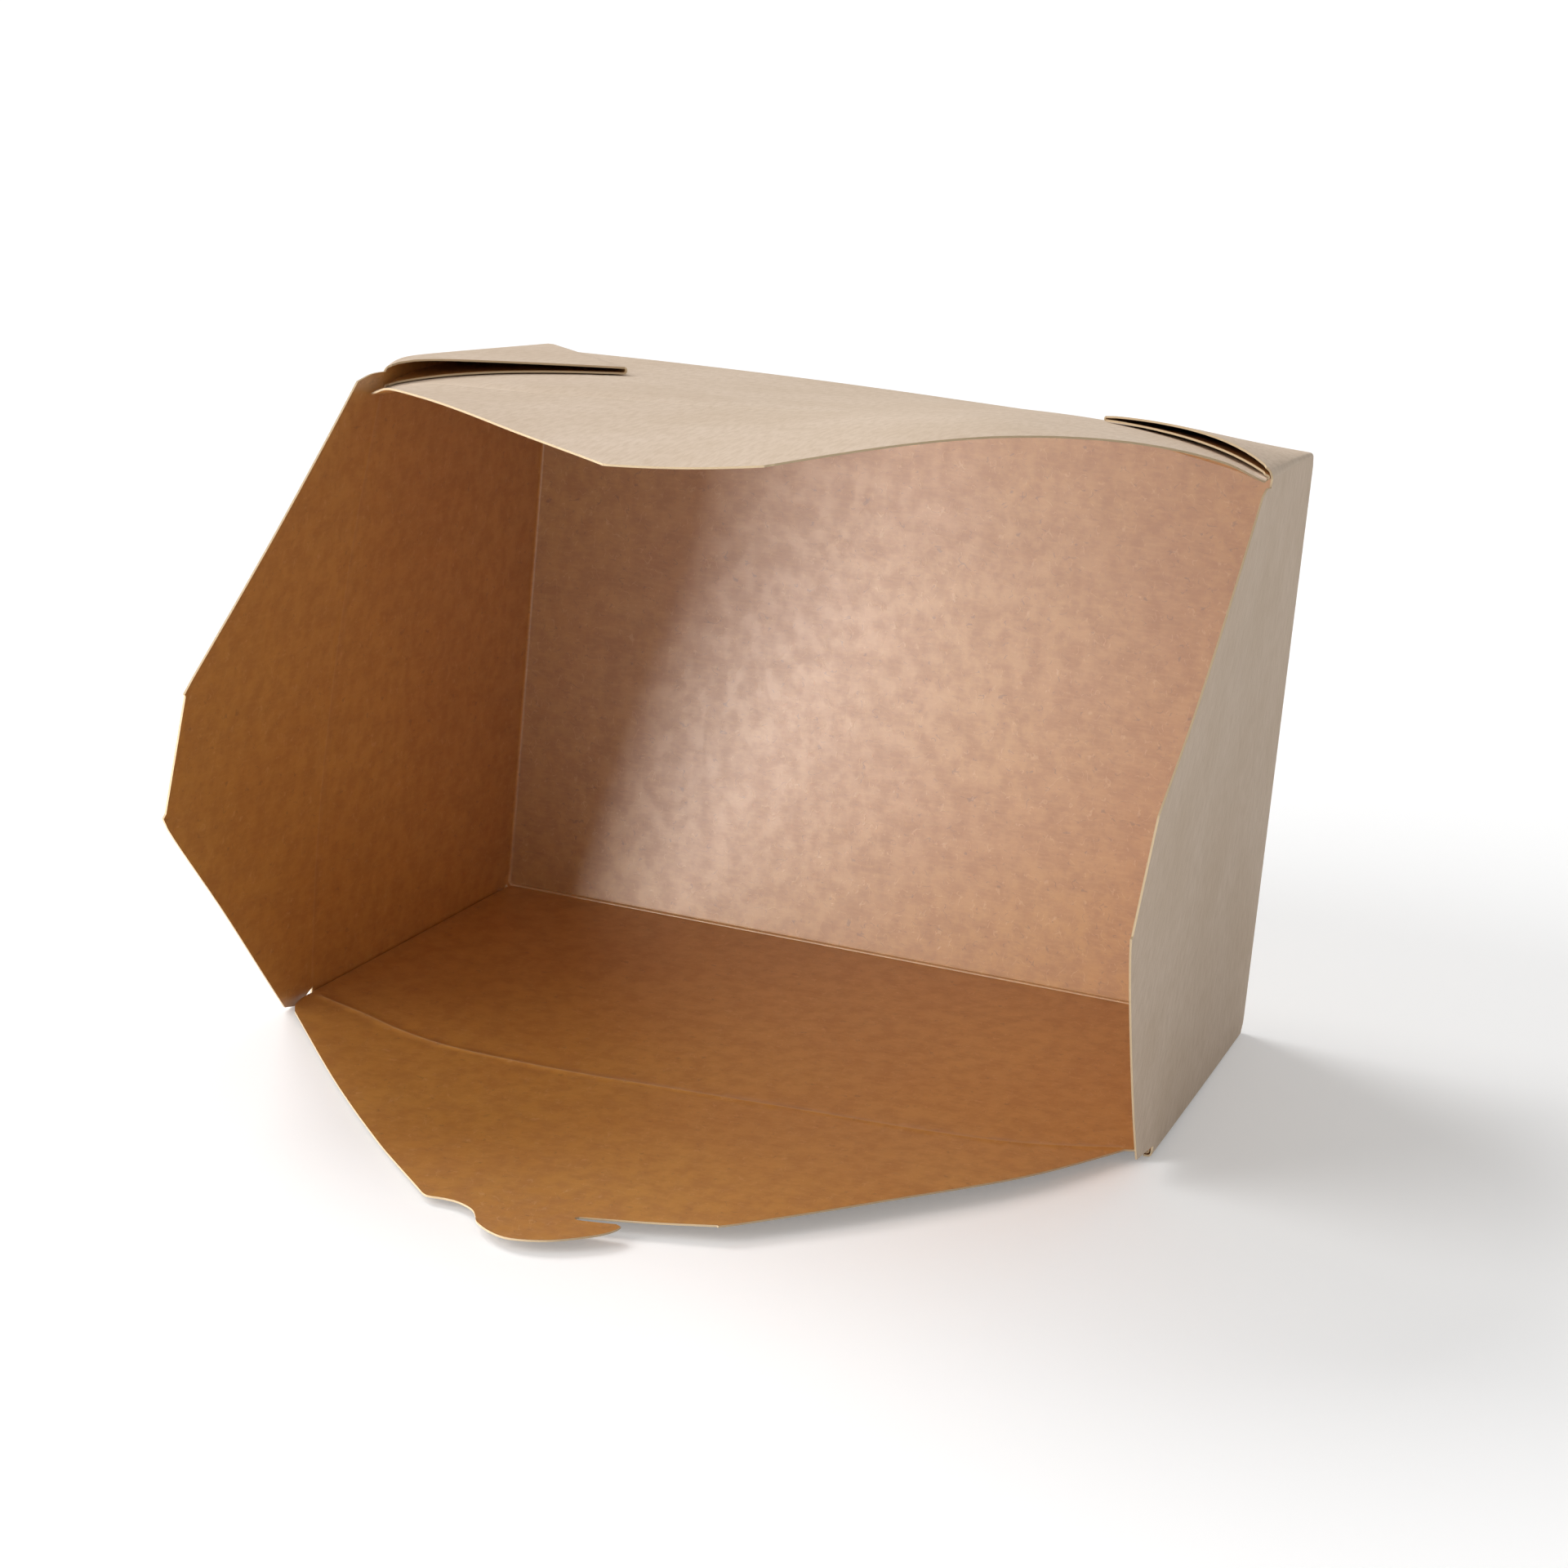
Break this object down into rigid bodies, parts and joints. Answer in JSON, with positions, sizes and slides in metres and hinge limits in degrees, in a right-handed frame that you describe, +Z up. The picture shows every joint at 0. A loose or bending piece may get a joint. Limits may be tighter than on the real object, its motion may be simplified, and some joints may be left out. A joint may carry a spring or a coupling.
{
  "type": "takeaway box",
  "caption": "Folded kraft-board food box with webbed corners, lying on one long side wall with its four lid flaps open and its mouth facing forward.",
  "frame": {"origin": "on the floor, in the middle of the whole object's footprint as it lies on one long side wall with its flaps open", "axes": "+Z up as the box lies; +X along its long side, to the right when looking into the mouth; the mouth and the flaps look along -Y"},
  "size_m": [0.2202, 0.219, 0.1675],
  "materials": {
    "kraft_tray": "uncoated outside, satin barrier coating inside",
    "kraft_flap": "uncoated outside, satin barrier coating inside"
  },
  "bodies": {
    "tray": {"tray": "kraft_tray"},
    "hook_flap": {"hook_flap": "kraft_flap"},
    "plain_flap": {"plain_flap": "kraft_flap"},
    "right_flap": {"right_flap": "kraft_flap"},
    "left_flap": {"left_flap": "kraft_flap"}
  },
  "joints": [
    {"name": "hook_flap_crease", "type": "hinge", "parent": "tray", "child": "hook_flap", "pos_m": [0, 0.0085, 0.00172], "axis": [-1, 0, 0], "range_deg": [0, 85.7]},
    {"name": "plain_flap_crease", "type": "hinge", "parent": "tray", "child": "plain_flap", "pos_m": [0, 0.01912, 0.1536], "axis": [1, 0, 0], "range_deg": [-90, 90]},
    {"name": "right_flap_crease", "type": "hinge", "parent": "tray", "child": "right_flap", "pos_m": [0.10457, 0.01461, 0.07761], "axis": [0, -0.0698, -0.9976], "range_deg": [-90, 106]},
    {"name": "left_flap_crease", "type": "hinge", "parent": "tray", "child": "left_flap", "pos_m": [-0.10457, 0.01461, 0.07761], "axis": [0, 0.0698, 0.9976], "range_deg": [-90, 106]}
  ]
}
